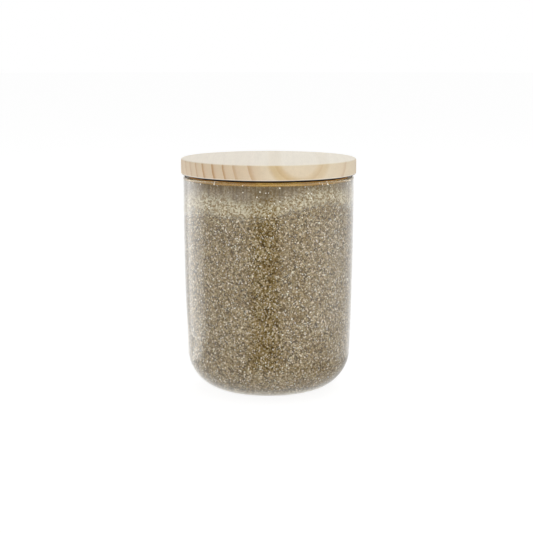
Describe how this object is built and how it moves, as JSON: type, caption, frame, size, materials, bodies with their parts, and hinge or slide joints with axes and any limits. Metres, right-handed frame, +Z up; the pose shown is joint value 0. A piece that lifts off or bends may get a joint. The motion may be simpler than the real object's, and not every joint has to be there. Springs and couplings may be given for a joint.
{
  "type": "spice jar",
  "caption": "Clear round-heeled glass spice jar with a flat turned pine lid that pushes in on a silicone seal, holding coarse ground spice.",
  "frame": {"origin": "centre of the base on the surface that the jar stands on", "axes": "+Z up along the jar's axis, +X to the right in the picture, +Y away from the viewer"},
  "size_m": [0.082, 0.082, 0.1094],
  "materials": {
    "clear_glass": "clear pressed glass, polished",
    "pine": "bare sanded pine with growth rings",
    "silicone": "milky translucent silicone, satin",
    "ground_spice": "coarse ground dry spice, matte, mottled olive brown with pale grains"
  },
  "bodies": {
    "jar": {"glass_jar": "clear_glass", "spice_fill": "ground_spice"},
    "seal": {"silicone_seal": "silicone"},
    "lid": {"wooden_lid": "pine"}
  },
  "joints": [
    {"name": "lid_lift", "type": "slide", "parent": "jar", "child": "seal", "axis": [0, 0, 1], "range_m": [0, 0.06]},
    {"name": "lid_turn", "type": "hinge", "parent": "seal", "child": "lid", "pos_m": [0, 0, 0.105], "axis": [0, 0, 1], "continuous": true}
  ]
}
